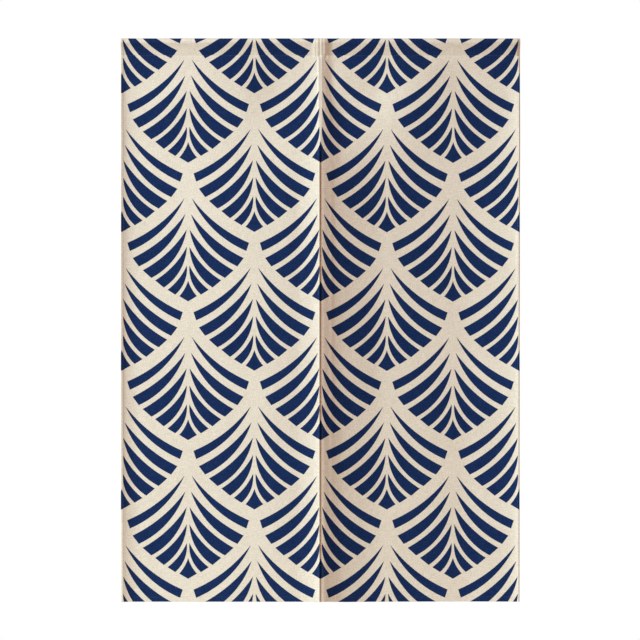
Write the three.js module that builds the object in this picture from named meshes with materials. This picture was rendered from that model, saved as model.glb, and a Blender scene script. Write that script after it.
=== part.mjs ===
// Noren doorway curtain: one hemmed cloth with a slit up its middle, hanging from a rod sleeve.
// Millimetres. +X runs across the width, +Z is up, and the printed face looks along -Y.
// The origin is the middle of the top edge, where a rod in the sleeve carries the cloth.

import * as THREE from 'three';

// Driving sizes of the whole curtain
const WIDTH = 850;
const DROP = 1200;
const SLEEVE_HEIGHT = 36;
const PIECE_GAP = 0.3;

// Cloth and hems
const CLOTH_THICKNESS = 1.5;
const HEM_EXTRA = 0.9;
const SIDE_HEM = 6;
const FOOT_HEM = 12;
const HEM_SLOPE = 1.5;

// Slit between the two panels, measured down from the top edge
const SLIT_TOP = 222;
const SLIT_WIDTH = 2.4;
const SLIT_TAPER = 60;
const LIP_STEP = 2.8;
const LIP_REACH = 70;

// Rod sleeve: a teardrop section, round over the rod and closed by the seam below it
const SLEEVE_WALL = 1.5;
const ROD_ROUND = 8;
const POCKET_FOOT = 33;
const POCKET_FOOT_HALF = 0.4;
const ARC_STEPS = 5;
const WALL_STEPS = 3;

// Centre tuck: three flat ribs of folded cloth, stitched down over the whole height of the sleeve
const TUCK_LEFT = -9.5;
const TUCK_RIGHT = 10;
const TUCK_GROOVES = [-3.3, 4.3];
const TUCK_PROUD = 2;
const TUCK_EDGE = 0.8;
const GROOVE_HALF = 0.9;

// Below the sleeve the tuck runs on as a narrow ridge, which dies out into the slit
const RIDGE_AT = -4;
const RIDGE_LEFT_HALF = 9;
const RIDGE_RIGHT_HALF = 7;
const RIDGE_RISE = 3;

// Levels down the drop at which the fold table below gives its columns
const LEVELS = { seam: SLEEVE_HEIGHT, shoulder: SLIT_TOP, waist: 700, foot: DROP };

// How far the cloth stands forward of the rod's plane, for each place across the width
const FOLDS = [
  { across: -425, seam: 1.0, shoulder: 2.6, waist: 4.0, foot: 5.2 },
  { across: -400, seam: 0.8, shoulder: 1.0, waist: 1.6, foot: 2.6 },
  { across: -330, seam: 0.7, shoulder: 0.4, waist: 0.8, foot: 1.8 },
  { across: -240, seam: 0.7, shoulder: 0.6, waist: 1.0, foot: 0.6 },
  { across: -150, seam: 0.8, shoulder: 1.2, waist: 1.6, foot: 1.2 },
  { across: -44, seam: 0.6, shoulder: -1.2, waist: -1.4, foot: -2.0 },
  { across: 0, seam: 1.6, shoulder: 5.2, waist: 5.6, foot: 4.8 },
  { across: 50, seam: 0.4, shoulder: -2.8, waist: -3.0, foot: -3.8 },
  { across: 110, seam: 0.6, shoulder: -5.0, waist: -5.8, foot: -6.8 },
  { across: 172, seam: 0.7, shoulder: -6.2, waist: -7.6, foot: -8.6 },
  { across: 250, seam: 0.7, shoulder: -6.6, waist: -8.4, foot: -9.2 },
  { across: 320, seam: 0.7, shoulder: -6.4, waist: -8.2, foot: -8.6 },
  { across: 385, seam: 0.8, shoulder: -4.8, waist: -5.6, foot: -5.6 },
  { across: 425, seam: 1.0, shoulder: -3.4, waist: -3.6, foot: -3.2 },
];

// Soft hollows in the cloth: place across, place below the top edge, half sizes and depth
const HOLLOWS = [
  { across: 278, below: 150, wide: 24, tall: 80, push: 1.8 },
  { across: -150, below: 150, wide: 24, tall: 60, push: 1.2 },
  { across: -300, below: 1120, wide: 60, tall: 90, push: 1.4 },
  { across: 210, below: 1090, wide: 50, tall: 110, push: 1.6 },
];

// Places where the sleeve's walls draw in between the rod and the seam
const PUCKERS = [
  { across: -282, wide: 46, share: 0.32 },
  { across: -282, wide: 6, share: 0.16 },
  { across: 282, wide: 46, share: 0.4 },
  { across: 282, wide: 6, share: 0.18 },
];

// Where the cloth's columns stand, mirrored about the middle, and how its rows step down
const NEAR_SLIT_COLUMNS = [3, SIDE_HEM, SIDE_HEM + HEM_SLOPE, 10, 14, 20];
const PANEL_COLUMNS = [32, 48, 68, 92, 120, 150, 182, 216, 250, 280, 310, 342, 374, 398, 410];
const EDGE_COLUMNS = [WIDTH / 2 - SIDE_HEM - HEM_SLOPE, WIDTH / 2 - SIDE_HEM, WIDTH / 2];
const HALF_COLUMNS = [...NEAR_SLIT_COLUMNS, ...PANEL_COLUMNS, ...EDGE_COLUMNS];
const ROWS_ABOVE_SLIT = 6;
const ROWS_BELOW_SLIT = 23;

// Where the sleeve's sections stand, mirrored about the middle
const HALF_SECTIONS = [22, 60, 130, 200, 240, 266, 276, 282, 288, 298, 324, 370, WIDTH / 2];

function smoothstep(share) {
  const held = Math.min(Math.max(share, 0), 1);
  return held * held * (3 - 2 * held);
}

function bell(distance, half) {
  return Math.exp(-((distance / half) ** 2));
}

// Slope at one station of a smooth curve, from its neighbours
function slopeAt(places, values, i) {
  const before = Math.max(i - 1, 0);
  const after = Math.min(i + 1, places.length - 1);
  return (values[after] - values[before]) / (places[after] - places[before]);
}

// Value at a place on the smooth curve through the stations
function through(places, values, place) {
  let i = 0;
  while (i < places.length - 2 && place > places[i + 1]) {
    i += 1;
  }
  const step = places[i + 1] - places[i];
  const t = Math.min(Math.max((place - places[i]) / step, 0), 1);
  const startSlope = slopeAt(places, values, i) * step;
  const endSlope = slopeAt(places, values, i + 1) * step;
  const start = 2 * t ** 3 - 3 * t ** 2 + 1;
  const leaving = t ** 3 - 2 * t ** 2 + t;
  const end = 3 * t ** 2 - 2 * t ** 3;
  const arriving = t ** 3 - t ** 2;
  return start * values[i] + leaving * startSlope + end * values[i + 1] + arriving * endSlope;
}

// The narrow ridge under the tuck, strongest at the seam
function ridge(across, below) {
  const distance = across - RIDGE_AT;
  const half = distance < 0 ? RIDGE_LEFT_HALF : RIDGE_RIGHT_HALF;
  const fading = 1 - 0.8 * smoothstep((below - SLEEVE_HEIGHT) / (SLIT_TOP - SLEEVE_HEIGHT));
  const split = 1 - smoothstep((below - SLIT_TOP) / SLIT_TAPER);
  return RIDGE_RISE * fading * split * bell(distance, half);
}

// How far the cloth's middle stands forward at a place; under the slit's top the right lip hangs behind the left one
function forward(across, below) {
  const places = FOLDS.map((fold) => fold.across);
  const levels = Object.keys(LEVELS);
  const depths = levels.map((level) => LEVELS[level]);
  const heights = levels.map((level) => through(places, FOLDS.map((fold) => fold[level]), across));
  let out = through(depths, heights, below) + ridge(across, below);
  for (const hollow of HOLLOWS) {
    out -= hollow.push * bell(across - hollow.across, hollow.wide) * bell(below - hollow.below, hollow.tall);
  }
  const opened = smoothstep((below - SLIT_TOP) / SLIT_TAPER);
  if (across > 0) {
    out -= LIP_STEP * opened * (1 - smoothstep(across / LIP_REACH));
  }
  return out;
}

// Full thickness of the cloth, with the turned hems along the sides, the slit and the foot
function thickness(across, below) {
  const fromSide = WIDTH / 2 - Math.abs(across);
  const fromFoot = DROP - below;
  const fromSlit = below > SLIT_TOP ? Math.abs(across) : WIDTH;
  const hemmed = Math.min(fromSide, fromSlit) <= SIDE_HEM || fromFoot <= FOOT_HEM;
  return CLOTH_THICKNESS + (hemmed ? HEM_EXTRA : 0);
}

// A flat closed sheet from its front triangles: a back set half a thickness behind, and a wall round every rim
function closedSheet(points, halves, faces) {
  const count = points.length;
  const positions = [];
  for (const layer of [-1, 1]) {
    points.forEach((point, i) => positions.push(point.x, point.y + layer * halves[i], point.z));
  }
  const indices = [];
  const directed = new Set();
  for (const [a, b, c] of faces) {
    indices.push(a, b, c);
    indices.push(a + count, c + count, b + count);
    [[a, b], [b, c], [c, a]].forEach(([from, to]) => directed.add(`${from},${to}`));
  }
  for (const edge of directed) {
    const [from, to] = edge.split(',').map(Number);
    if (!directed.has(`${to},${from}`)) {
      indices.push(to, from, from + count);
      indices.push(to, from + count, to + count);
    }
  }
  return indexedGeometry(positions, indices);
}

function indexedGeometry(positions, indices) {
  const geometry = new THREE.BufferGeometry();
  geometry.setAttribute('position', new THREE.Float32BufferAttribute(positions, 3));
  geometry.setIndex(indices);
  geometry.computeVertexNormals();
  return geometry;
}

// Depths of the cloth's rows: even steps to the slit, even steps below it, and the foot hem's own rows
function rowDepths() {
  const top = SLEEVE_HEIGHT + PIECE_GAP;
  const hemStart = DROP - FOOT_HEM - HEM_SLOPE;
  const rows = [];
  for (let i = 0; i < ROWS_ABOVE_SLIT; i += 1) {
    rows.push(top + ((SLIT_TOP - top) * i) / ROWS_ABOVE_SLIT);
  }
  for (let i = 0; i <= ROWS_BELOW_SLIT; i += 1) {
    rows.push(SLIT_TOP + ((hemStart - SLIT_TOP) * i) / ROWS_BELOW_SLIT);
  }
  return [...rows, DROP - FOOT_HEM, DROP];
}

// The cloth below the sleeve, one sheet whose middle column parts into two lips under the slit's top
function clothGeometry() {
  const columns = [...HALF_COLUMNS.map((x) => -x).reverse(), 0, ...HALF_COLUMNS];
  const middle = HALF_COLUMNS.length;
  const rows = rowDepths();
  const points = [];
  const halves = [];
  const known = new Map();
  function corner(column, row, panel) {
    const below = rows[row];
    const side = column === middle && row > ROWS_ABOVE_SLIT ? panel : 0;
    const name = `${column},${row},${side}`;
    if (!known.has(name)) {
      const half = (SLIT_WIDTH / 2) * Math.min((below - SLIT_TOP) / SLIT_TAPER, 1);
      const across = columns[column] + side * half;
      known.set(name, points.length);
      points.push(new THREE.Vector3(across, -forward(across, below), -below));
      halves.push(thickness(across, below) / 2);
    }
    return known.get(name);
  }
  const faces = [];
  for (let row = 0; row < rows.length - 1; row += 1) {
    for (let column = 0; column < columns.length - 1; column += 1) {
      const panel = column < middle ? -1 : 1;
      const topLeft = corner(column, row, panel);
      const topRight = corner(column + 1, row, panel);
      const footRight = corner(column + 1, row + 1, panel);
      const footLeft = corner(column, row + 1, panel);
      faces.push([topLeft, footLeft, footRight], [topLeft, footRight, topRight]);
    }
  }
  return closedSheet(points, halves, faces);
}

// How far the tuck's ribs stand proud of the sleeve at a place across
function tuckProud(across) {
  const fromEdge = Math.min(across - TUCK_LEFT, TUCK_RIGHT - across);
  const ribs = smoothstep(fromEdge / TUCK_EDGE + 0.5);
  const grooves = TUCK_GROOVES.map((groove) => 1 - Math.min(Math.abs(across - groove) / GROOVE_HALF, 1));
  return TUCK_PROUD * ribs * (1 - 0.7 * Math.max(...grooves));
}

// One side of the sleeve's section from its top to its foot, as { half, below }: an arc and then a straight wall
function sideProfile(radius, foot, footHalf) {
  const tangent = Math.asin((radius - footHalf) / (foot - ROD_ROUND));
  const side = [];
  for (let i = 0; i <= ARC_STEPS; i += 1) {
    const angle = Math.PI / 2 - ((Math.PI / 2 + tangent) * i) / ARC_STEPS;
    side.push({ half: radius * Math.cos(angle), below: ROD_ROUND - radius * Math.sin(angle) });
  }
  const last = side[ARC_STEPS];
  for (let i = 1; i <= WALL_STEPS; i += 1) {
    const share = i / WALL_STEPS;
    side.push({
      half: last.half + (footHalf - last.half) * share,
      below: last.below + (foot - last.below) * share,
    });
  }
  return side;
}

// How much of its depth the sleeve's wall keeps at a place across and below the top edge
function keptDepth(across, below) {
  const drawn = PUCKERS.reduce((sum, pucker) => sum + pucker.share * bell(across - pucker.across, pucker.wide), 0);
  const lower = smoothstep((below - ROD_ROUND) / ROD_ROUND) * smoothstep((SLEEVE_HEIGHT - below) / ROD_ROUND);
  return 1 - drawn * lower;
}

// A ring of points round the section at one place across, from the top down the front and up the back
function sectionRing(across, profile, footHalf, proud) {
  const ring = [];
  const front = profile.map(({ half, below }) => ({ half, below, side: -1 }));
  const back = profile.map(({ half, below }) => ({ half, below, side: 1 })).reverse();
  for (const { half, below, side } of [...front, ...back.slice(0, -1)]) {
    const depth = footHalf + (half - footHalf) * keptDepth(across, below);
    const atTop = half < footHalf;
    const reach = atTop ? half : depth + proud;
    ring.push(new THREE.Vector3(across, side * reach, -below));
  }
  return ring;
}

// The sleeve: an outer and an inner skin joined by a ring at each open end
function sleeveGeometry() {
  const tuckStations = [];
  for (const edge of [TUCK_LEFT, TUCK_RIGHT]) {
    tuckStations.push(edge - TUCK_EDGE, edge + TUCK_EDGE);
  }
  for (const groove of TUCK_GROOVES) {
    tuckStations.push(groove - GROOVE_HALF, groove, groove + GROOVE_HALF);
  }
  const stations = [...HALF_SECTIONS.map((x) => -x), ...tuckStations, ...HALF_SECTIONS].sort((a, b) => a - b);
  const outer = sideProfile(ROD_ROUND, SLEEVE_HEIGHT, SLEEVE_WALL);
  const inner = sideProfile(ROD_ROUND - SLEEVE_WALL, POCKET_FOOT, POCKET_FOOT_HALF);
  const skins = [
    stations.map((across) => sectionRing(across, outer, SLEEVE_WALL, tuckProud(across))),
    stations.map((across) => sectionRing(across, inner, POCKET_FOOT_HALF, 0)),
  ];
  const ringSize = skins[0][0].length;
  const positions = skins.flat(2).flatMap((point) => [point.x, point.y, point.z]);
  const indices = [];
  const place = (skin, station, k) => (skin * stations.length + station) * ringSize + (k % ringSize);
  function quad(a, b, c, d) {
    indices.push(a, b, c, a, c, d);
  }
  const last = stations.length - 1;
  for (let k = 0; k < ringSize; k += 1) {
    for (let station = 0; station < last; station += 1) {
      quad(place(0, station, k), place(0, station, k + 1), place(0, station + 1, k + 1), place(0, station + 1, k));
      quad(place(1, station, k), place(1, station + 1, k), place(1, station + 1, k + 1), place(1, station, k + 1));
    }
    quad(place(0, 0, k), place(1, 0, k), place(1, 0, k + 1), place(0, 0, k + 1));
    quad(place(0, last, k), place(0, last, k + 1), place(1, last, k + 1), place(1, last, k));
  }
  return indexedGeometry(positions, indices);
}

const fabric = new THREE.MeshStandardMaterial({ color: '#e2d5c2', roughness: 0.95, metalness: 0 });
const sleeveFabric = new THREE.MeshStandardMaterial({ color: '#dccfbb', roughness: 0.95, metalness: 0 });

const cloth = new THREE.Mesh(clothGeometry(), fabric);
cloth.name = 'cloth';

const sleeve = new THREE.Mesh(sleeveGeometry(), sleeveFabric);
sleeve.name = 'rod_sleeve';

const curtain = new THREE.Group();
curtain.add(cloth, sleeve);

export default curtain;
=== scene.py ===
"""Looks of a noren doorway curtain: printed cloth with turned hems, a rod sleeve, a centre tuck and a slit.

Shapes are worked out in millimetres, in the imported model's frame: +X across, +Z up, printed face along -Y,
origin at the middle of the top edge. They become metres where a mesh is made. "Below" is the depth under
the top edge, and "forward" is the distance towards the viewer from the plane of the rod.
"""

import math
from collections import namedtuple

import bpy
import numpy as np
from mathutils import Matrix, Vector


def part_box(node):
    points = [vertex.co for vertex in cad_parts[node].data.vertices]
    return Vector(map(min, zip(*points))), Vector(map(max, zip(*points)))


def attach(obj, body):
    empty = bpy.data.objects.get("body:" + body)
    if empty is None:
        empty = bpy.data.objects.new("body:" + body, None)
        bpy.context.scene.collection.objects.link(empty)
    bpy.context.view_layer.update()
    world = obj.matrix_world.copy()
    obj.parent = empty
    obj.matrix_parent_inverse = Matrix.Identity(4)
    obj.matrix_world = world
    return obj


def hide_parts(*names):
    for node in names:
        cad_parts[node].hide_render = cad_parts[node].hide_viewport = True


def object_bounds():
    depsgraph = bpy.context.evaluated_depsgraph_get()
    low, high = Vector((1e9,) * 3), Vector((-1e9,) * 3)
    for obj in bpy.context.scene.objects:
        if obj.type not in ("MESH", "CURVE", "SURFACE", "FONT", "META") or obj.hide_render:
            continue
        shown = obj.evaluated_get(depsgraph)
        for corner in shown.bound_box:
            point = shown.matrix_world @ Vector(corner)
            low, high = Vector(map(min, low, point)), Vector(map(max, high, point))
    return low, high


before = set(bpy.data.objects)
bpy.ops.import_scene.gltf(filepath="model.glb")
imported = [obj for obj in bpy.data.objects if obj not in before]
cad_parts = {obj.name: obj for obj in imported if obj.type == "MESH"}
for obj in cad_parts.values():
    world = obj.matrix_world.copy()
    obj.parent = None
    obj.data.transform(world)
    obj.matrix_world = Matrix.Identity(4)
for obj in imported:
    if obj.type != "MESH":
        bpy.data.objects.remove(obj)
cad_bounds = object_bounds()

MM = 0.001

# Whole curtain, from the frame
WIDTH = round((cad_bounds[1][0] - cad_bounds[0][0]) / MM, 1)
DROP = round(-cad_bounds[0][2] / MM, 1)
SLEEVE_HEIGHT = round(-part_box("rod_sleeve")[0][2] / MM, 1)
SIDE = WIDTH / 2

# Cloth and its turned hems
CLOTH_THICK = 0.7
HEM_THICK = 1.4
SIDE_HEM = 6.5
FOOT_HEM = 12.0
HEM_STEP = 0.5
RIM_ROUND = 0.10
RIM_LEAST = 0.15

# Right panel hangs this much lower at its foot, from a little beside the slit on
FOOT_LOWER = 1.5
FOOT_LOWER_FROM = 5.0
FOOT_LOWER_REACH = 60.0

# Slit: the left lip has a bead and curls back into it, and the right lip lies behind with a dip in its hem
SLIT_TOP = 216.0
LIP_ROUND = 0.5
LIP_STEP = 0.7
LIP_REACH = 60.0
CURL_TAPER = 25.0
CURL_DEEP = 1.6
CURL_REACH = 1.65
BEAD_HIGH = 0.14
BEAD_AT = 3.4
BEAD_HALF = 2.0
HEM_DIP = 0.2
HEM_DIP_FROM = 3.0
HEM_DIP_TO = 5.4

# Rod sleeve's section: round the rod, off it at this angle, then in a hollow curve to the seam
ROD_ROUND = 9.0
ROD_LEAVE = math.radians(22)
WALL_POWER = 1.15
SEAM_STAND = 1.5
REAR_STAND = 0.9
FLAP_FOOT = 39.0
LOOSE_REACH = 6.0

# How full the sleeve's front wall is at places across it
FULLNESS = (
    (-425, 0.55),
    (-330, 0.65),
    (-240, 0.90),
    (-130, 1.05),
    (-50, 1.00),
    (30, 1.25),
    (60, 1.25),
    (120, 1.10),
    (290, 1.00),
    (350, 0.75),
    (425, 0.65),
)

# How far the sleeve's front stands out beyond that: both ends, and the tuck's three flat ribs in the middle
STANDING = (
    (-425, 0.9),
    (-421, 0.7),
    (-417, 0.3),
    (-410, 0.1),
    (-400, 0.0),
    (-20, 0.0),
    (-16, 0.2),
    (-11.7, 0.6),
    (-9.5, 0.6),
    (-5.3, 0.9),
    (-1.0, 0.6),
    (1.2, 0.75),
    (3.3, 0.7),
    (5.4, 0.5),
    (7.5, 0.45),
    (9.7, 0.35),
    (12, 0.0),
    (20, -1.2),
    (25, -1.7),
    (29, -1.8),
    (60, -1.8),
    (418, -1.2),
    (425, -2.0),
)

# Tacks just under the seam, on both sides of the tuck: place across, half width and depth of the dimple
TACKS = ((-3.0, 4.2, 0.35), (11.6, 2.8, 0.4))
TACK_BELOW = 39.0
TACK_HALF_HIGH = 3.5

# Narrow ridge that runs down from the tuck to the slit: its flanks, and its rounded crest
RIDGE_LEFT = (-8.0, -3.6)
RIDGE_RIGHT = (2.0, 7.0)
RIDGE_RISE = 0.3
CREST_HALVES = (2.5, 3.0)
CREST_DROP = 0.38
RIDGE_FADE = 60.0

# Folds: place across, then how far forward at each level. Not hand-placed: solved from the photo's brightness
FOLD_SCALE = 1.06
LEVELS = {"seam": 36, "collar": 90, "neck": 150, "shoulder": 222, "chest": 300, "waist": 700, "foot": 1200}
FOLDS = (
    (-425, 2.2, -0.1, 0.4, 0.3, -0.1, 2.3, 3.2),
    (-421, 2.0, -0.4, 0.0, 0.0, -0.5, 2.0, 3.3),
    (-417, 1.7, -0.9, -0.4, -0.5, -0.9, 1.4, 2.8),
    (-410, 1.4, -1.2, -0.9, -1.0, -1.5, 0.8, 2.0),
    (-395, 1.3, -1.5, -1.2, -1.4, -1.9, 0.1, 1.0),
    (-370, 1.3, -1.5, -1.1, -1.3, -2.0, 0.0, 0.7),
    (-330, 1.3, -1.1, -0.7, -0.9, -1.7, 0.1, 0.5),
    (-290, 1.3, -0.1, -0.5, -0.8, -1.2, 0.3, 0.5),
    (-240, 1.3, 0.7, -0.3, -0.1, -0.2, 0.7, 0.7),
    (-200, 1.3, 0.8, 0.1, 0.3, 0.6, 1.0, 1.0),
    (-160, 1.3, 0.6, 0.4, 0.5, 1.2, 1.3, 1.0),
    (-130, 1.3, -0.2, -0.1, 0.7, 1.5, 1.7, 1.1),
    (-100, 1.2, -1.2, -0.2, 1.1, 1.8, 1.9, 1.2),
    (-70, 1.2, -1.4, 0.2, 1.9, 2.3, 1.8, 1.2),
    (-45, 1.3, -1.1, 0.6, 2.7, 2.5, 1.6, 1.2),
    (-28, 1.4, -0.7, 1.1, 3.4, 3.3, 2.1, 1.9),
    (-14, 1.8, 0.1, 1.9, 4.3, 4.4, 2.9, 2.9),
    (0, 2.3, 1.2, 3.2, 5.6, 5.7, 4.2, 4.3),
    (8, 1.6, 0.5, 2.6, 4.8, 4.8, 3.2, 3.4),
    (18, 0.5, -0.8, 1.3, 3.6, 3.5, 1.7, 1.7),
    (24, 0.0, -1.5, 0.4, 2.8, 2.7, 0.9, 0.7),
    (30, -0.3, -1.7, -0.3, 2.1, 1.8, -0.1, -0.3),
    (45, -0.5, -1.6, -1.3, 0.5, 0.2, -2.0, -2.5),
    (62, -0.5, -1.7, -1.6, -0.2, -1.1, -3.5, -4.2),
    (80, -0.5, -1.8, -1.6, -0.5, -2.2, -4.7, -5.6),
    (100, -0.5, -2.0, -1.3, -0.7, -3.2, -6.0, -6.9),
    (125, -0.4, -2.2, -0.5, -0.8, -4.1, -7.3, -7.9),
    (155, -0.4, -1.4, 0.7, -0.7, -4.5, -7.9, -8.5),
    (190, -0.3, -0.8, 1.3, -0.6, -5.0, -8.4, -9.3),
    (230, -0.3, -0.9, 0.8, -0.9, -5.5, -8.9, -9.9),
    (270, -0.3, -1.9, 0.0, -1.2, -5.7, -9.4, -10.6),
    (310, -0.2, -2.8, -0.7, -1.3, -5.7, -9.7, -11.2),
    (345, -0.2, -2.6, -1.1, -1.1, -4.9, -8.9, -10.8),
    (380, -0.1, -2.1, -0.8, -0.1, -3.5, -7.7, -10.2),
    (405, 0.0, -1.3, 0.1, 1.4, -2.0, -6.3, -9.2),
    (416, 0.0, -0.5, 1.1, 2.4, -1.1, -5.3, -8.4),
    (420, 0.3, -0.05, 1.55, 2.90, -0.55, -4.75, -7.85),
    (422.5, 0.45, 0.25, 1.80, 3.20, -0.25, -4.45, -7.55),
    (425, 0.05, -0.15, 1.40, 2.85, -0.60, -4.70, -7.75),
)

# Grooves that the stitches pull in, and the thread
SIDE_STITCH = 5.0
FOOT_STITCH = 10.0
GROOVE_DEEP = 0.06
GROOVE_HALF = 0.9
SEAM_DEEP = 0.15
SEAM_HALF = 1.6
THREAD_RADIUS = 0.09
THREAD_SINK = 0.08
STITCH_LENGTH = 2.3
STITCH_PITCH = 3.0
THREAD_SIDES = 5

# Where the lines of stitches stop: under the top edge, under the slit's top, and short of an edge
RUN_TOP = 10.0
RUN_SLIT = 4.0
RUN_SHORT = 1.5
SEAM_SHORT = 1.0

# Columns: places nearest an upright edge, (from, to, at most apart) beside the slit, and the other spacings
EDGE_PLACES = (0.0, 0.06, 0.15, 0.4, 0.85)
LIP_SPANS = ((1.5, 14, 0.85), (14, 26, 1.7), (26, 50, 3))
WIDE_STEP = 7.6
TURNED_STEP = 0.65
HEM_NEAR = 6.0
HEM_NEAR_STEP = 1.8

# Rows: round the rod, down the sleeve's wall, below the seam, beside the slit's top and down to the foot
ARC_STEPS = 10
WALL_STEP = 2.2
SEAM_NEAR = 3.0
SEAM_NEAR_STEP = 0.7
FLAP_NEAR = 1.0
END_PLACES = (0.0, 0.12, 0.35, 0.85)
SEAM_PLACES = (0, 0.4, 0.9, 1.5, 2.2, 3.2, 4.6, 6.4, 8.6, 11, 14)
SLIT_PLACES = (0, 2, 5)
LOOSE_FROM = 52
ABOVE_SLIT_STEP = 8.0
BESIDE_SLIT_FROM = 10
BESIDE_SLIT_STEP = 9.0
FOOT_STEP = 1.0

# Fan print: one half of a fan, measured from its foot tip, repeating as a half drop
FAN_ACROSS = 282.4
FAN_UP = 295.5
FAN_SHIFT = 0.5
FAN_TIP = 264.5
INK_SPREAD = 0.25
INK_EDGE = 0.35
# Each bar: inner tip, top corner, foot corner, and how far its top and foot edges bow
BARS = (
    ((8.5, 218.5), (129.5, 124.5), (124.0, 107.5), 10.0, 15.0),
    ((6.5, 185.0), (118.0, 92.0), (105.0, 74.5), 9.0, 15.5),
    ((3.5, 152.0), (96.5, 66.0), (78.5, 50.0), 8.0, 15.0),
    ((3.0, 115.5), (70.0, 44.5), (52.0, 29.5), 6.5, 12.0),
    ((3.0, 75.5), (43.5, 24.5), (27.5, 14.5), 4.0, 8.0),
)
KITE_TOP = (0.0, 43.5)
KITE_SIDE = (18.5, 11.0)
KITE_BOW = 2.0

# Colours, linear
CREAM = (0.835, 0.748, 0.585, 1.0)
CREAM_DARK = (0.665, 0.585, 0.445, 1.0)
NAVY = (0.005, 0.016, 0.062, 1.0)
NAVY_LIGHT = (0.013, 0.033, 0.105, 1.0)
THREAD = (0.18, 0.17, 0.17, 1.0)
REVERSE_INK = 0.22
FLOOR_COLOUR = (0.70, 0.63, 0.50, 1.0)

# Ink's frayed edge: the noise's scale per metre, and its reach in metres
FRAY_SCALE = 800.0
FRAY = 0.0002

# Weave: noise scales per metre, shares of the tone, the yarns' pitch in metres, and bumps (metres, strength)
SLUB_ALONG = 60.0
SLUB_ACROSS = 1100.0
MOTTLE_SCALE = 420.0
CLOUD_SCALE = 9.0
WEFT_SHARE = 0.3
WARP_SHARE = 0.25
MOTTLE_SHARE = 0.4
CLOUD_SHARE = 0.05
TONE_RANGE = (0.44, 0.56)
YARN_PITCH = 0.0011
WEAVE_SHARE = 0.3
YARN_BUMP = (0.0001, 0.3)
CREASE_SCALE = 42.0
CREASE_BUMP = (0.0005, 0.3)
ROUGHNESS = (0.84, 0.96)
CLOTH_SPECULAR = 0.04

# Thread's look
TWIST_SCALE = 900.0
TWIST_BUMP = (0.0001, 0.4)
THREAD_SHADE = 0.8
THREAD_ROUGHNESS = 0.8
THREAD_SPECULAR = 0.25

# The photograph's frame, in its pixels
FRAME_PIXELS = 640
PIXEL_MM = 2.1305
MIDDLE_PIXEL = 320.47
TOP_PIXEL = 38.44
LENS = 100.0
SENSOR = 36.0

# Key light: left of the cloth's face, raised and far off. Its power and FILL were fitted to the photo
KEY_ACROSS = math.radians(74)
KEY_RAISED = math.radians(12)
KEY_FAR = 9.0
KEY_SIZE = 2.2
KEY_POWER = 2910
KEY_COLOUR = (0.639, 0.842, 0.975)
FILL = 0.315
FILL_COLOUR = (1.0, 0.33, 0.12)

# Rear light, in metres from the middle of the cloth
REAR_AWAY = Vector((2.5, 4.0, 1.2))
REAR_SIZE = 2.0
REAR_POWER = 245
REAR_COLOUR = (0.65, 0.865, 1.0)

# Floor, in metres
FLOOR_REACH = 1.25
FLOOR_DOWN = -1.95
FLOOR_ROUGHNESS = 0.9

MIDDLE = Vector((0.0, 0.0, -DROP / 2 * MM))


def smoothstep(share):
    held = np.clip(share, 0.0, 1.0)
    return held * held * (3 - 2 * held)


def bell(distance, half):
    return np.exp(-((distance / half) ** 2))


def through(places, values, at):
    """The smooth curve through the stations, at some places. The last axis of values goes with places."""
    places = np.asarray(places, float)
    values = np.asarray(values, float)
    at = np.clip(np.asarray(at, float), places[0], places[-1])
    number = np.arange(len(places))
    before = np.maximum(number - 1, 0)
    after = np.minimum(number + 1, len(places) - 1)
    slopes = (values[..., after] - values[..., before]) / (places[after] - places[before])
    i = np.clip(np.searchsorted(places, at) - 1, 0, len(places) - 2)
    step = places[i + 1] - places[i]
    t = (at - places[i]) / step
    from_start = 2 * t**3 - 3 * t**2 + 1
    leaving = (t**3 - 2 * t**2 + t) * step
    from_end = 3 * t**2 - 2 * t**3
    arriving = (t**3 - t**2) * step
    start, end = values[..., i], values[..., i + 1]
    return from_start * start + leaving * slopes[..., i] + from_end * end + arriving * slopes[..., i + 1]


def spaced(start, end, most):
    """Even places from start up to end, at most that far apart, without the last one."""
    steps = max(int(math.ceil((end - start) / most - 1e-9)), 1)
    return [start + (end - start) * i / steps for i in range(steps)]


def half_columns():
    """Places across one panel, from the slit's lip to the side: close at the lip, the tuck and the hems."""
    hem_line = SIDE - SIDE_HEM
    places = list(EDGE_PLACES)
    for start, end, most in LIP_SPANS:
        places += spaced(start, end, most)
    places += spaced(LIP_SPANS[-1][1], hem_line - HEM_NEAR, WIDE_STEP)
    places += spaced(hem_line - HEM_NEAR, hem_line - HEM_STEP, HEM_NEAR_STEP) + [hem_line - HEM_STEP]
    places += spaced(hem_line, SIDE - EDGE_PLACES[-1], TURNED_STEP)
    places += [SIDE - place for place in reversed(EDGE_PLACES)]
    return np.array(places)


# One row of the sheet: its part, its depth, the sleeve's half depth there, and the way to the sheet's end
Row = namedtuple("Row", "part below half from_end")
FAR = 1e3


def sleeve_profile():
    """(half depth, below) from the top edge round the rod and down one wall to the seam."""
    profile = []
    for i in range(ARC_STEPS + 1):
        angle = math.pi / 2 - (math.pi / 2 + ROD_LEAVE) * i / ARC_STEPS
        profile.append((ROD_ROUND * math.cos(angle), ROD_ROUND - ROD_ROUND * math.sin(angle)))
    leave_half, leave_below = profile[-1]
    near_seam = SLEEVE_HEIGHT - SEAM_NEAR
    depths = spaced(leave_below, near_seam, WALL_STEP)[1:] + spaced(near_seam, SLEEVE_HEIGHT, SEAM_NEAR_STEP)
    for below in depths:
        left = (SLEEVE_HEIGHT - below) / (SLEEVE_HEIGHT - leave_below)
        profile.append((SEAM_STAND + (leave_half - SEAM_STAND) * left**WALL_POWER, below))
    return profile


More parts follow.
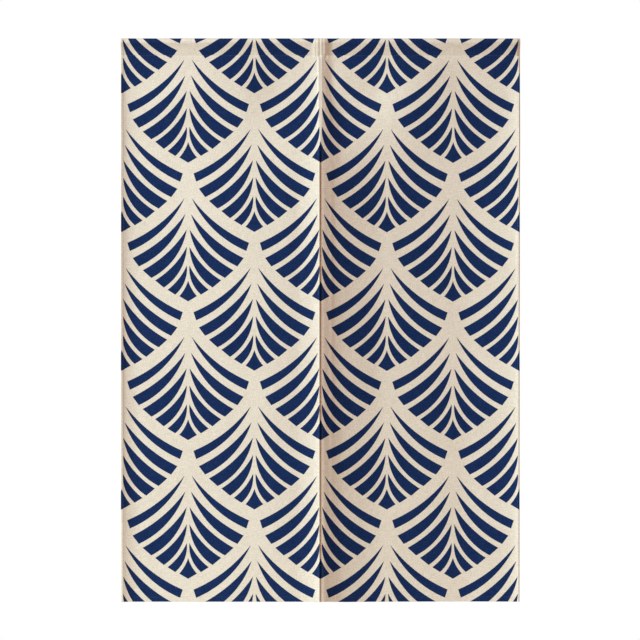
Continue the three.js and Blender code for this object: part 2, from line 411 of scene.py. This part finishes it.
def sheet_rows():
    """All rows, from the sewn edge behind the sleeve, over the top, down the drop and round the foot hem."""
    profile = sleeve_profile()
    flap = [FLAP_FOOT - place for place in END_PLACES] + [SLEEVE_HEIGHT + FLAP_NEAR, SLEEVE_HEIGHT]
    rows = [Row("flap", below, SEAM_STAND, FLAP_FOOT - below) for below in flap]
    rows += [Row("rear", below, half, FAR) for half, below in reversed(profile[1:])]
    rows += [Row("front", below, half, FAR) for half, below in profile]
    hem_line = DROP - FOOT_HEM
    depths = [SLEEVE_HEIGHT + down for down in SEAM_PLACES]
    depths += spaced(LOOSE_FROM, SLIT_TOP, ABOVE_SLIT_STEP) + [SLIT_TOP + down for down in SLIT_PLACES]
    depths += spaced(SLIT_TOP + BESIDE_SLIT_FROM, hem_line - HEM_NEAR, BESIDE_SLIT_STEP)
    depths += spaced(hem_line - HEM_NEAR, hem_line - HEM_STEP, HEM_NEAR_STEP) + [hem_line - HEM_STEP]
    depths += spaced(hem_line, DROP - END_PLACES[-1], FOOT_STEP)
    depths += [DROP - place for place in reversed(END_PLACES)]
    return rows + [Row("drop", below, 0.0, DROP - below) for below in depths]


def flat_heights(rows):
    """Each row's height on the flat, printed cloth. Round the top edge's front it is the print as seen."""
    heights = np.zeros(len(rows))
    for j in range(len(rows) - 1, -1, -1):
        row = rows[j]
        if row.part == "drop":
            heights[j] = -row.below
            continue
        below = rows[j + 1]
        if row.part == "front" and row.below < ROD_ROUND:
            heights[j] = heights[j + 1] + below.below - row.below
            continue
        turn = -1 if below.part == "front" and row.part == "rear" else 1
        heights[j] = heights[j + 1] + math.hypot(row.below - below.below, row.half - turn * below.half)
    return heights


def sleeve_line(table, across):
    places, values = zip(*table)
    return through(places, values, across)


def ridge(across):
    """The narrow ridge's height over the folds, above the slit."""
    rising = smoothstep((across - RIDGE_LEFT[0]) / (RIDGE_LEFT[1] - RIDGE_LEFT[0]))
    falling = smoothstep((RIDGE_RIGHT[1] - across) / (RIDGE_RIGHT[1] - RIDGE_RIGHT[0]))
    return RIDGE_RISE * rising * falling - CREST_DROP * bell(across, np.where(across < 0, *CREST_HALVES))


def lip(columns):
    """How far each place stands forward for the lip of the slit that its panel has."""
    aside = np.abs(columns)
    if columns[0] < 0:
        return BEAD_HIGH * bell(aside - BEAD_AT, BEAD_HALF) - CURL_DEEP * (1 - smoothstep(aside / CURL_REACH))
    dip = HEM_DIP * (1 - smoothstep((aside - HEM_DIP_FROM) / (HEM_DIP_TO - HEM_DIP_FROM)))
    return -LIP_STEP * (1 - smoothstep(aside / LIP_REACH)) - dip


def forward(across, heights, below):
    """How far the cloth stands forward along a row; heights are the folds' own at each level."""
    out = through(list(LEVELS.values()), heights, below)
    out = out + ridge(across) * smoothstep((SLIT_TOP - below) / RIDGE_FADE)
    return out + lip(across) * smoothstep((below - SLIT_TOP) / CURL_TAPER)


def face_depth(across, heights, row):
    """y of the printed face along a row, before hems and stitches."""
    fullness = sleeve_line(FULLNESS, across)
    standing = sleeve_line(STANDING, across)
    dimples = sum(deep * bell(across - at, half) for at, half, deep in TACKS)
    dimples = dimples * bell(row.below - TACK_BELOW, TACK_HALF_HIGH)
    wall = np.full_like(across, row.half)
    if row.half > SEAM_STAND and row.below > ROD_ROUND:
        drawn = smoothstep((row.below - ROD_ROUND) / (SLEEVE_HEIGHT - ROD_ROUND)) * (1 - fullness)
        wall = SEAM_STAND + (row.half - SEAM_STAND) * (1 - drawn)
    if row.part == "front":
        return dimples - wall - standing * smoothstep(row.half / SEAM_STAND)
    if row.part in ("rear", "flap"):
        closing = smoothstep((row.below - ROD_ROUND) / (SLEEVE_HEIGHT - ROD_ROUND))
        return wall * (1 - closing) + (REAR_STAND - standing) * closing
    loose = smoothstep((row.below - SLEEVE_HEIGHT) / LOOSE_REACH)
    hung = forward(across, heights, row.below) + CLOTH_THICK / 2
    return dimples - (SEAM_STAND + standing) * (1 - loose) - hung * loose


def rounded(distance, radius):
    """Share of its thickness that a hem's rounded rim keeps at some distance in from the edge."""
    inward = np.minimum(distance / radius, 1.0)
    return np.sqrt(np.maximum(1 - (1 - inward) ** 2, 0.0))


def panel_row(columns, heights, row):
    """y of the printed face and the cloth's thickness along one panel's part of a row."""
    from_edge = SIDE - np.abs(columns)
    keep = rounded(from_edge, RIM_ROUND)
    if row.part == "drop" and row.below > SLIT_TOP:
        from_edge = np.minimum(from_edge, np.abs(columns))
        keep = np.minimum(keep, rounded(np.abs(columns), LIP_ROUND))
    from_end = np.full_like(columns, row.from_end)
    keep = np.minimum(keep, rounded(from_end, RIM_ROUND))
    hem_share = smoothstep((SIDE_HEM + HEM_STEP - from_edge) / HEM_STEP)
    hem_share = np.maximum(hem_share, smoothstep((FOOT_HEM + HEM_STEP - from_end) / HEM_STEP))
    thick = CLOTH_THICK + (HEM_THICK - CLOTH_THICK) * hem_share
    groove = bell(from_edge - SIDE_STITCH, GROOVE_HALF)
    if row.part == "drop":
        groove = np.maximum(groove, bell(from_end - FOOT_STITCH, GROOVE_HALF))
    pulled = GROOVE_DEEP * groove + SEAM_DEEP * bell(row.below - SLEEVE_HEIGHT, SEAM_HALF)
    pulled = pulled + thick * (1 - keep) / 2
    inward = 1 if row.part in ("front", "drop") else -1
    return face_depth(columns, heights, row) + inward * pulled, thick * np.maximum(keep, RIM_LEAST)


def lowered(columns, row):
    """How much lower than its depth each place of a row hangs, more and more down the drop."""
    if row.part != "drop":
        return 0.0
    share = (row.below - SLEEVE_HEIGHT) / (DROP - SLEEVE_HEIGHT)
    return FOOT_LOWER * share * smoothstep((columns - FOOT_LOWER_FROM) / FOOT_LOWER_REACH)


def surface_normals(points):
    """Unit normals of a grid of points, out of the printed face."""
    normal = np.cross(np.gradient(points, axis=0), np.gradient(points, axis=1))
    return normal / np.linalg.norm(normal, axis=2, keepdims=True)


def fold_heights(columns):
    """The folds' height at each column of one panel, for every level. The two panels meet in a crease."""
    side = np.sign(columns.mean())
    stations = np.array([line for line in FOLDS if line[0] * side >= 0], float)
    stations[:, 2:] *= FOLD_SCALE
    return through(stations[:, 0], stations[:, 1:].T, columns).T


class Sheet:
    """The cloth as rows and columns, the middle column twice, with its printed and reverse sides."""

    def __init__(self):
        half = half_columns()
        self.rows = sheet_rows()
        self.columns = np.concatenate([-half[::-1], half])
        self.count = len(half)
        self.panels = (slice(0, self.count), slice(self.count, 2 * self.count))
        self.below = np.array([row.below for row in self.rows])
        self.drop = np.array([row.part == "drop" for row in self.rows])
        self.whole = ~self.drop | (self.below <= SLIT_TOP)
        self.heights = np.concatenate([fold_heights(-half[::-1]), fold_heights(half)])
        self.face = np.zeros((len(self.rows), 2 * self.count, 3))
        self.thick = np.zeros(self.face.shape[:2])
        for j, row in enumerate(self.rows):
            self.lay_row(j, row)
        self.flat = np.zeros(self.face.shape[:2] + (2,))
        self.flat[..., 0] = self.columns
        self.flat[..., 1] = flat_heights(self.rows)[:, None]
        self.normals = np.concatenate([surface_normals(self.face[:, part]) for part in self.panels], 1)
        self.join_normals()
        self.back = self.face - self.normals * self.thick[..., None]

    def lay_row(self, j, row):
        for part in self.panels:
            depth, thick = panel_row(self.columns[part], self.heights[part], row)
            self.face[j, part, 0] = self.columns[part]
            self.face[j, part, 1] = depth
            self.face[j, part, 2] = -row.below - lowered(self.columns[part], row)
            self.thick[j, part] = thick

    def join_normals(self):
        left, right = self.count - 1, self.count
        shared = self.normals[self.whole, left] + self.normals[self.whole, right]
        shared /= np.linalg.norm(shared, axis=1, keepdims=True)
        self.normals[self.whole, left] = shared
        self.normals[self.whole, right] = shared

    def mesh(self):
        """One closed mesh. Turned hems show the printed face on the reverse, mirrored at their fold."""
        total = self.thick.size
        index = np.arange(total).reshape(self.thick.shape)
        index[self.whole, self.count] = index[self.whole, self.count - 1]
        flat = self.flat * MM
        quads, maps, slots = [], [], []

        def add(corners, places, slot):
            quads.append(corners.reshape(-1, 4))
            maps.append(places.reshape(-1, 4, 2))
            slots.append(np.broadcast_to(slot, corners.shape[:-1]).ravel())

        for part in self.panels:
            grid, places = index[:, part], flat[:, part]
            corner = [(slice(0, -1), slice(0, -1)), (slice(1, None), slice(0, -1)),
                      (slice(1, None), slice(1, None)), (slice(0, -1), slice(1, None))]
            add(np.stack([grid[c] for c in corner], -1), np.stack([places[c] for c in corner], -2), 0)
            turned, slot = self.turned_places(part)
            behind = corner[::-1]
            add(np.stack([grid[c] for c in behind], -1) + total, turned[:, :, ::-1], slot)

        def rim(line, flip):
            first, second = line[:-1], line[1:]
            wall = np.stack([first, second, second + total, first + total], -1)
            places = np.broadcast_to(flat.reshape(-1, 2)[first][:, None], (len(first), 4, 2))
            add(wall[:, ::-1] if flip else wall, places, 0)

        fork = np.flatnonzero(~self.whole)[0] - 1
        left, right = self.count - 1, self.count
        rim(index[:, 0], False)
        rim(index[:, -1], True)
        rim(index[fork:, left], True)
        rim(index[fork:, right], False)
        for part in self.panels:
            rim(index[0, part], True)
            rim(index[-1, part], False)
        vertices = np.concatenate([self.face.reshape(-1, 3), self.back.reshape(-1, 3)]) * MM
        used, corners = np.unique(np.concatenate(quads), return_inverse=True)
        mesh = bpy.data.meshes.new("noren_cloth")
        mesh.from_pydata(vertices[used].tolist(), [], corners.reshape(-1, 4).tolist())
        mesh.polygons.foreach_set("material_index", np.concatenate(slots).astype(np.int32))
        mesh.polygons.foreach_set("use_smooth", np.ones(len(mesh.polygons), bool))
        layer = mesh.uv_layers.new(name="flat")
        layer.data.foreach_set("uv", np.concatenate(maps).astype(np.float32).ravel())
        mesh.update()
        return mesh

    def turned_places(self, part):
        """Flat places of the reverse side's quads, and their material slot: 0 on a turned hem, else 1."""
        places = self.flat[:, part]
        corner = [places[:-1, :-1], places[1:, :-1], places[1:, 1:], places[:-1, 1:]]
        turned = np.stack(corner, -2)
        middle = turned.mean(axis=2)
        below = (self.below[:-1] + self.below[1:])[:, None] / 2
        split = (self.drop[:-1] & ~self.whole[1:])[:, None]
        side = SIDE - np.abs(middle[..., 0]) < SIDE_HEM
        slit = split & (np.abs(middle[..., 0]) < SIDE_HEM)
        foot = self.drop[:-1, None] & (DROP - below < FOOT_HEM) & ~side & ~slit
        edge = np.sign(middle[..., 0]) * SIDE
        turned[side, :, 0] = (2 * edge[side])[:, None] - turned[side, :, 0]
        turned[slit, :, 0] = -turned[slit, :, 0]
        turned[foot, :, 1] = -2 * DROP - turned[foot, :, 1]
        return turned * MM, np.where(side | slit | foot, 0, 1)

    def down(self, across, first, last, reverse):
        """Points and outward normals along a line down the cloth, between two depths on the front."""
        part = self.panels[0] if across < 0 else self.panels[1]
        front = np.array([row.part in ("front", "drop") for row in self.rows])
        picked = np.flatnonzero(front & (self.below >= first) & (self.below <= last))
        columns = self.columns[part]
        at = np.searchsorted(columns, across)
        share = (across - columns[at - 1]) / (columns[at] - columns[at - 1])
        side = self.back if reverse else self.face
        mixed = [(1 - share) * grid[picked, part][:, at - 1] + share * grid[picked, part][:, at]
                 for grid in (side, self.normals)]
        return mixed[0], -mixed[1] if reverse else mixed[1]

    def along(self, j, first, last, reverse):
        """Points and outward normals along a row between two places across."""
        picked = np.flatnonzero((self.columns >= first) & (self.columns <= last))
        side = self.back if reverse else self.face
        normals = self.normals[j, picked]
        return side[j, picked], -normals if reverse else normals

    def row_at(self, part, below):
        return min((abs(row.below - below), j) for j, row in enumerate(self.rows) if row.part == part)[1]


def stitch_runs(sheet, reverse):
    """The lines that the stitches follow on one side of the cloth."""
    inner = SIDE_STITCH
    edge = SIDE - SIDE_STITCH
    foot = DROP - FOOT_STITCH
    last = DROP - RUN_SHORT
    runs = [sheet.down(side * edge, RUN_TOP, last, reverse) for side in (-1, 1)]
    runs += [sheet.down(side * inner, SLIT_TOP + RUN_SLIT, last, reverse) for side in (-1, 1)]
    foot_row = sheet.row_at("drop", foot)
    runs += [sheet.along(foot_row, low, high, reverse) for low, high in ((-edge, -inner), (inner, edge))]
    seam_row = sheet.row_at("flap" if reverse else "drop", SLEEVE_HEIGHT)
    runs.append(sheet.along(seam_row, -SIDE + SEAM_SHORT, SIDE - SEAM_SHORT, False))
    return runs


def stitch_mesh(name, runs):
    """Every stitch is a short thread that dips into the cloth at both ends."""
    share = np.array([0.0, 0.2, 0.8, 1.0])
    lift = np.array([-THREAD_SINK, -THREAD_RADIUS / 4, -THREAD_RADIUS / 4, -THREAD_SINK])
    angles = np.arange(THREAD_SIDES) * 2 * math.pi / THREAD_SIDES
    vertices = []
    for points, normals in runs:
        way = np.concatenate([[0], np.cumsum(np.linalg.norm(np.diff(points, axis=0), axis=1))])
        starts = np.arange(int(way[-1] / STITCH_PITCH)) * STITCH_PITCH + (STITCH_PITCH - STITCH_LENGTH) / 2
        at = starts[:, None] + share * STITCH_LENGTH
        centre = np.stack([np.interp(at, way, points[:, k]) for k in range(3)], -1)
        normal = np.stack([np.interp(at, way, normals[:, k]) for k in range(3)], -1)
        normal /= np.linalg.norm(normal, axis=2, keepdims=True)
        forth = centre[:, -1:] - centre[:, :1]
        side = np.cross(normal, forth)
        side /= np.linalg.norm(side, axis=2, keepdims=True)
        centre = centre + normal * lift[:, None]
        ring = np.cos(angles)[:, None] * normal[:, :, None] + np.sin(angles)[:, None] * side[:, :, None]
        vertices.append((centre[:, :, None] + THREAD_RADIUS * ring).reshape(-1, 3))
    vertices = np.concatenate(vertices) * MM
    rings = len(share)
    ring_of = np.arange(THREAD_SIDES)
    next_of = (ring_of + 1) % THREAD_SIDES
    wall = np.stack([ring_of, next_of, next_of + THREAD_SIDES, ring_of + THREAD_SIDES], 1)
    walls = np.concatenate([wall + k * THREAD_SIDES for k in range(rings - 1)])
    caps = [ring_of[::-1].tolist(), (ring_of + (rings - 1) * THREAD_SIDES).tolist()]
    faces = []
    for base in range(0, len(vertices), rings * THREAD_SIDES):
        faces += (walls + base).tolist()
        faces += [[base + corner for corner in cap] for cap in caps]
    mesh = bpy.data.meshes.new(name)
    mesh.from_pydata(vertices.tolist(), [], faces)
    mesh.polygons.foreach_set("use_smooth", np.ones(len(faces), bool))
    mesh.update()
    return mesh


def put(mesh, name):
    made = bpy.data.objects.new(name, mesh)
    bpy.context.scene.collection.objects.link(made)
    return made


class Graph:
    """Short calls for a node tree."""

    def __init__(self, tree):
        self.tree = tree

    def add(self, kind, **settings):
        made = self.tree.nodes.new(kind)
        for name, value in settings.items():
            setattr(made, name, value)
        return made

    def fill(self, socket, value):
        if isinstance(value, bpy.types.NodeSocket):
            self.tree.links.new(value, socket)
        else:
            socket.default_value = value

    def math(self, operation, *values):
        made = self.add("ShaderNodeMath", operation=operation)
        for socket, value in zip(made.inputs, values):
            self.fill(socket, value)
        return made.outputs[0]

    def vector(self, operation, *values):
        made = self.add("ShaderNodeVectorMath", operation=operation)
        for socket, value in zip(made.inputs, values):
            self.fill(socket, value)
        return made.outputs["Value" if operation in ("DISTANCE", "DOT_PRODUCT") else "Vector"]

    def split(self, vector):
        made = self.add("ShaderNodeSeparateXYZ")
        self.fill(made.inputs[0], vector)
        return made.outputs

    def noise(self, vector, scale, detail=2.0, roughness=0.5):
        made = self.add("ShaderNodeTexNoise")
        self.fill(made.inputs["Vector"], vector)
        made.inputs["Scale"].default_value = scale
        made.inputs["Detail"].default_value = detail
        made.inputs["Roughness"].default_value = roughness
        return made.outputs["Fac"]

    def stretched(self, vector, across, up):
        return self.vector("MULTIPLY", vector, (across, up, 1.0))

    def ramp(self, value, low, high, to_low=0.0, to_high=1.0, smooth=False):
        made = self.add("ShaderNodeMapRange", interpolation_type="SMOOTHSTEP" if smooth else "LINEAR")
        names = ("Value", "From Min", "From Max", "To Min", "To Max")
        for name, filled in zip(names, (value, low, high, to_low, to_high)):
            self.fill(made.inputs[name], filled)
        return made.outputs["Result"]

    def mix(self, share, first, second):
        made = self.add("ShaderNodeMix", data_type="RGBA")
        self.fill(made.inputs["Factor"], share)
        self.fill(made.inputs[6], first)
        self.fill(made.inputs[7], second)
        return made.outputs[2]

    def bump(self, height, distance, strength, normal=None):
        made = self.add("ShaderNodeBump")
        made.inputs["Distance"].default_value = distance
        made.inputs["Strength"].default_value = strength
        self.fill(made.inputs["Height"], height)
        if normal is not None:
            self.fill(made.inputs["Normal"], normal)
        return made.outputs[0]


def new_material(name):
    material = bpy.data.materials.new(name)
    material.use_nodes = True
    material.node_tree.nodes.clear()
    g = Graph(material.node_tree)
    shader = g.add("ShaderNodeBsdfPrincipled")
    g.fill(g.add("ShaderNodeOutputMaterial").inputs["Surface"], shader.outputs[0])
    return material, g, shader


def arc_circle(start, end, bow):
    """Centre and radius, in metres, of the arc from start to end that bows towards the fan's foot."""
    (ax, az), (bx, bz) = start, end
    chord = math.hypot(bx - ax, bz - az)
    normal = ((bz - az) / chord, -(bx - ax) / chord)
    radius = chord**2 / (8 * bow) + bow / 2
    middle = ((ax + bx) / 2, (az + bz) / 2)
    centre = [m - n * (radius - bow) for m, n in zip(middle, normal)]
    return (centre[0] * MM, centre[1] * MM, 0.0), radius * MM


def fan_group():
    """A node group: how deep a flat place lies inside the nearest fan of one row of the half drop."""
    tree = bpy.data.node_groups.new("fan_print", "ShaderNodeTree")
    tree.interface.new_socket("Flat", in_out="INPUT", socket_type="NodeSocketVector")
    tree.interface.new_socket("Across", in_out="INPUT", socket_type="NodeSocketFloat")
    tree.interface.new_socket("Up", in_out="INPUT", socket_type="NodeSocketFloat")
    tree.interface.new_socket("Inside", in_out="OUTPUT", socket_type="NodeSocketFloat")
    g = Graph(tree)
    given = g.add("NodeGroupInput").outputs
    result = g.add("NodeGroupOutput").inputs["Inside"]
    parts = g.split(given["Flat"])
    half = FAN_ACROSS / 2 * MM
    across = g.math("ABSOLUTE", g.math("WRAP", g.math("SUBTRACT", parts[0], given["Across"]), half, -half))
    up = g.math("WRAP", g.math("SUBTRACT", parts[1], given["Up"]), FAN_UP * MM, 0.0)
    joined = g.add("ShaderNodeCombineXYZ")
    g.fill(joined.inputs[0], across)
    g.fill(joined.inputs[1], up)
    place = joined.outputs[0]

    def beyond(start, end, bow):
        centre, radius = arc_circle(start, end, bow)
        return g.math("SUBTRACT", g.vector("DISTANCE", place, centre), radius)

    def left_of(start, end):
        (ax, az), (bx, bz) = start, end
        length = math.hypot(bx - ax, bz - az)
        normal = (-(bz - az) / length, (bx - ax) / length, 0.0)
        at_start = (normal[0] * ax + normal[1] * az) * MM
        return g.math("SUBTRACT", g.vector("DOT_PRODUCT", place, normal), at_start)

    def least(*values):
        lowest = values[0]
        for value in values[1:]:
            lowest = g.math("MINIMUM", lowest, value)
        return lowest

    under_kite_top = g.math("SUBTRACT", KITE_TOP[1] * MM, up)
    deepest = least(beyond(KITE_TOP, KITE_SIDE, KITE_BOW), left_of((0.0, 0.0), KITE_SIDE), under_kite_top)
    for tip, top, foot, top_bow, foot_bow in BARS:
        over_foot = g.math("MULTIPLY", beyond(tip, foot, foot_bow), -1.0)
        under_tip = g.math("SUBTRACT", tip[1] * MM, up)
        bar = least(beyond(tip, top, top_bow), over_foot, left_of(foot, top), under_tip)
        deepest = g.math("MAXIMUM", deepest, bar)
    g.fill(result, deepest)
    return tree


def printed_share(g, flat, fans, ink):
    """How much of the cloth's colour is ink at a flat place."""
    fray = g.ramp(g.noise(flat, FRAY_SCALE, 1.0), 0.3, 0.7, -FRAY, FRAY)
    fan_rows = []
    for across, up in ((0.0, 0.0), (FAN_ACROSS / 2, FAN_UP / 2)):
        fan = g.add("ShaderNodeGroup")
        fan.node_tree = fans
        g.fill(fan.inputs["Flat"], flat)
        fan.inputs["Across"].default_value = (across + FAN_SHIFT) * MM
        fan.inputs["Up"].default_value = (up - FAN_TIP) * MM
        fan_rows.append(fan.outputs[0])
    depth = g.math("ADD", fray, g.math("MAXIMUM", *fan_rows))
    outer = -(INK_SPREAD + INK_EDGE) * MM
    inner = -(INK_SPREAD - INK_EDGE) * MM
    return g.ramp(depth, outer, inner, 0.0, ink, smooth=True)


def cloth_material(name, fans, ink):
    """Woven cotton and linen with the fan print; ink is how much of the print this side shows."""
    material, g, shader = new_material(name)
    flat = g.add("ShaderNodeUVMap", uv_map="flat").outputs[0]
    printed = printed_share(g, flat, fans, ink)

    weft_slubs = g.noise(g.stretched(flat, SLUB_ALONG, SLUB_ACROSS), 1.0)
    warp_slubs = g.noise(g.stretched(flat, SLUB_ACROSS, SLUB_ALONG), 1.0)
    mottle = g.noise(flat, MOTTLE_SCALE, 3.0, 0.6)
    clouds = g.noise(flat, CLOUD_SCALE)
    tone = g.math("MULTIPLY", weft_slubs, WEFT_SHARE)
    for share, part in ((WARP_SHARE, warp_slubs), (MOTTLE_SHARE, mottle), (CLOUD_SHARE, clouds)):
        tone = g.math("ADD", tone, g.math("MULTIPLY", part, share))
    tone = g.ramp(tone, *TONE_RANGE)
    bare = g.mix(tone, CREAM_DARK, CREAM)
    inked = g.mix(tone, NAVY, NAVY_LIGHT)
    g.fill(shader.inputs["Base Color"], g.mix(printed, bare, inked))

    parts = g.split(flat)
    turns = 2 * math.pi / YARN_PITCH
    warp = g.math("SINE", g.math("MULTIPLY", parts[0], turns))
    weft = g.math("SINE", g.math("MULTIPLY", parts[1], turns))
    weave = g.math("MULTIPLY", g.math("MULTIPLY", warp, weft), WEAVE_SHARE)
    yarn = g.math("ADD", weave, g.math("ADD", weft_slubs, warp_slubs))
    creases = g.noise(flat, CREASE_SCALE, 3.0, 0.55)
    g.fill(shader.inputs["Normal"], g.bump(creases, *CREASE_BUMP, g.bump(yarn, *YARN_BUMP)))
    g.fill(shader.inputs["Roughness"], g.ramp(mottle, 0.2, 0.8, *ROUGHNESS))
    shader.inputs["Specular IOR Level"].default_value = CLOTH_SPECULAR
    return material


def thread_material():
    """Cotton sewing thread with a faint twist."""
    material, g, shader = new_material("thread")
    place = g.add("ShaderNodeTexCoord").outputs["Object"]
    twist = g.noise(g.stretched(place, TWIST_SCALE, TWIST_SCALE), 1.0)
    shade = tuple(THREAD_SHADE * value for value in THREAD[:3]) + (1.0,)
    g.fill(shader.inputs["Base Color"], g.mix(g.ramp(twist, 0.35, 0.65), shade, THREAD))
    g.fill(shader.inputs["Normal"], g.bump(twist, *TWIST_BUMP))
    shader.inputs["Roughness"].default_value = THREAD_ROUGHNESS
    shader.inputs["Specular IOR Level"].default_value = THREAD_SPECULAR
    return material


def make_curtain():
    sheet = Sheet()
    thread = thread_material()
    for name, reverse in (("stitches_face", False), ("stitches_reverse", True)):
        mesh = stitch_mesh(name, stitch_runs(sheet, reverse))
        mesh.materials.append(thread)
        made = put(mesh, name)
        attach(made, "root")
    mesh = sheet.mesh()
    fans = fan_group()
    mesh.materials.append(cloth_material("cloth_face", fans, 1.0))
    mesh.materials.append(cloth_material("cloth_reverse", fans, REVERSE_INK))
    cloth = put(mesh, "noren_cloth")
    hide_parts("cloth", "rod_sleeve")
    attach(cloth, "root")


def make_floor():
    """A plain pale floor below the hem, as in a doorway."""
    mesh = bpy.data.meshes.new("floor")
    turn = ((-1, -1), (1, -1), (1, 1), (-1, 1))
    corners = [(x * FLOOR_REACH, y * FLOOR_REACH, FLOOR_DOWN) for x, y in turn]
    mesh.from_pydata(corners, [], [(0, 1, 2, 3)])
    material, _, shader = new_material("floor")
    shader.inputs["Base Color"].default_value = FLOOR_COLOUR
    shader.inputs["Roughness"].default_value = FLOOR_ROUGHNESS
    mesh.materials.append(material)
    put(mesh, "floor")


def make_surround():
    """A white surround for the camera, and a softer, warmer one that fills the shade on the cloth."""
    world = bpy.data.worlds.new("studio")
    world.use_nodes = True
    world.node_tree.nodes.clear()
    g = Graph(world.node_tree)
    shown = g.add("ShaderNodeBackground")
    shown.inputs["Color"].default_value = (1.0, 1.0, 1.0, 1.0)
    shown.inputs["Strength"].default_value = 1.0
    lit = g.add("ShaderNodeBackground")
    lit.inputs["Color"].default_value = FILL_COLOUR + (1.0,)
    lit.inputs["Strength"].default_value = FILL
    either = g.add("ShaderNodeMixShader")
    g.fill(either.inputs[0], g.add("ShaderNodeLightPath").outputs["Is Camera Ray"])
    g.fill(either.inputs[1], lit.outputs[0])
    g.fill(either.inputs[2], shown.outputs[0])
    g.fill(g.add("ShaderNodeOutputWorld").inputs["Surface"], either.outputs[0])
    bpy.context.scene.world = world


def make_light(name, away, size, power, colour):
    """A square light, away from the middle of the cloth and aimed at it."""
    data = bpy.data.lights.new(name, "AREA")
    data.shape = "SQUARE"
    data.size = size
    data.energy = power
    data.color = colour
    made = bpy.data.objects.new(name, data)
    bpy.context.scene.collection.objects.link(made)
    made.location = MIDDLE + away
    made.rotation_euler = (-away).to_track_quat("-Z", "Y").to_euler()


def make_lights():
    level = KEY_FAR * math.cos(KEY_RAISED)
    up = KEY_FAR * math.sin(KEY_RAISED)
    away = Vector((-level * math.sin(KEY_ACROSS), -level * math.cos(KEY_ACROSS), up))
    make_light("key", away, KEY_SIZE, KEY_POWER, KEY_COLOUR)
    make_light("rear", REAR_AWAY, REAR_SIZE, REAR_POWER, REAR_COLOUR)


def make_camera():
    data = bpy.data.cameras.new("camera")
    data.lens = LENS
    data.sensor_width = SENSOR
    data.sensor_fit = "HORIZONTAL"
    camera = bpy.data.objects.new("camera", data)
    bpy.context.scene.collection.objects.link(camera)
    pixel = PIXEL_MM * MM
    across = (FRAME_PIXELS / 2 - MIDDLE_PIXEL) * pixel
    up = (TOP_PIXEL - FRAME_PIXELS / 2) * pixel
    camera.location = (across, -FRAME_PIXELS * pixel * LENS / SENSOR, up)
    camera.rotation_euler = (math.radians(90), 0.0, 0.0)
    bpy.context.scene.camera = camera


make_camera()
make_curtain()
make_floor()
make_surround()
make_lights()
bpy.context.scene.view_settings.view_transform = "Standard"
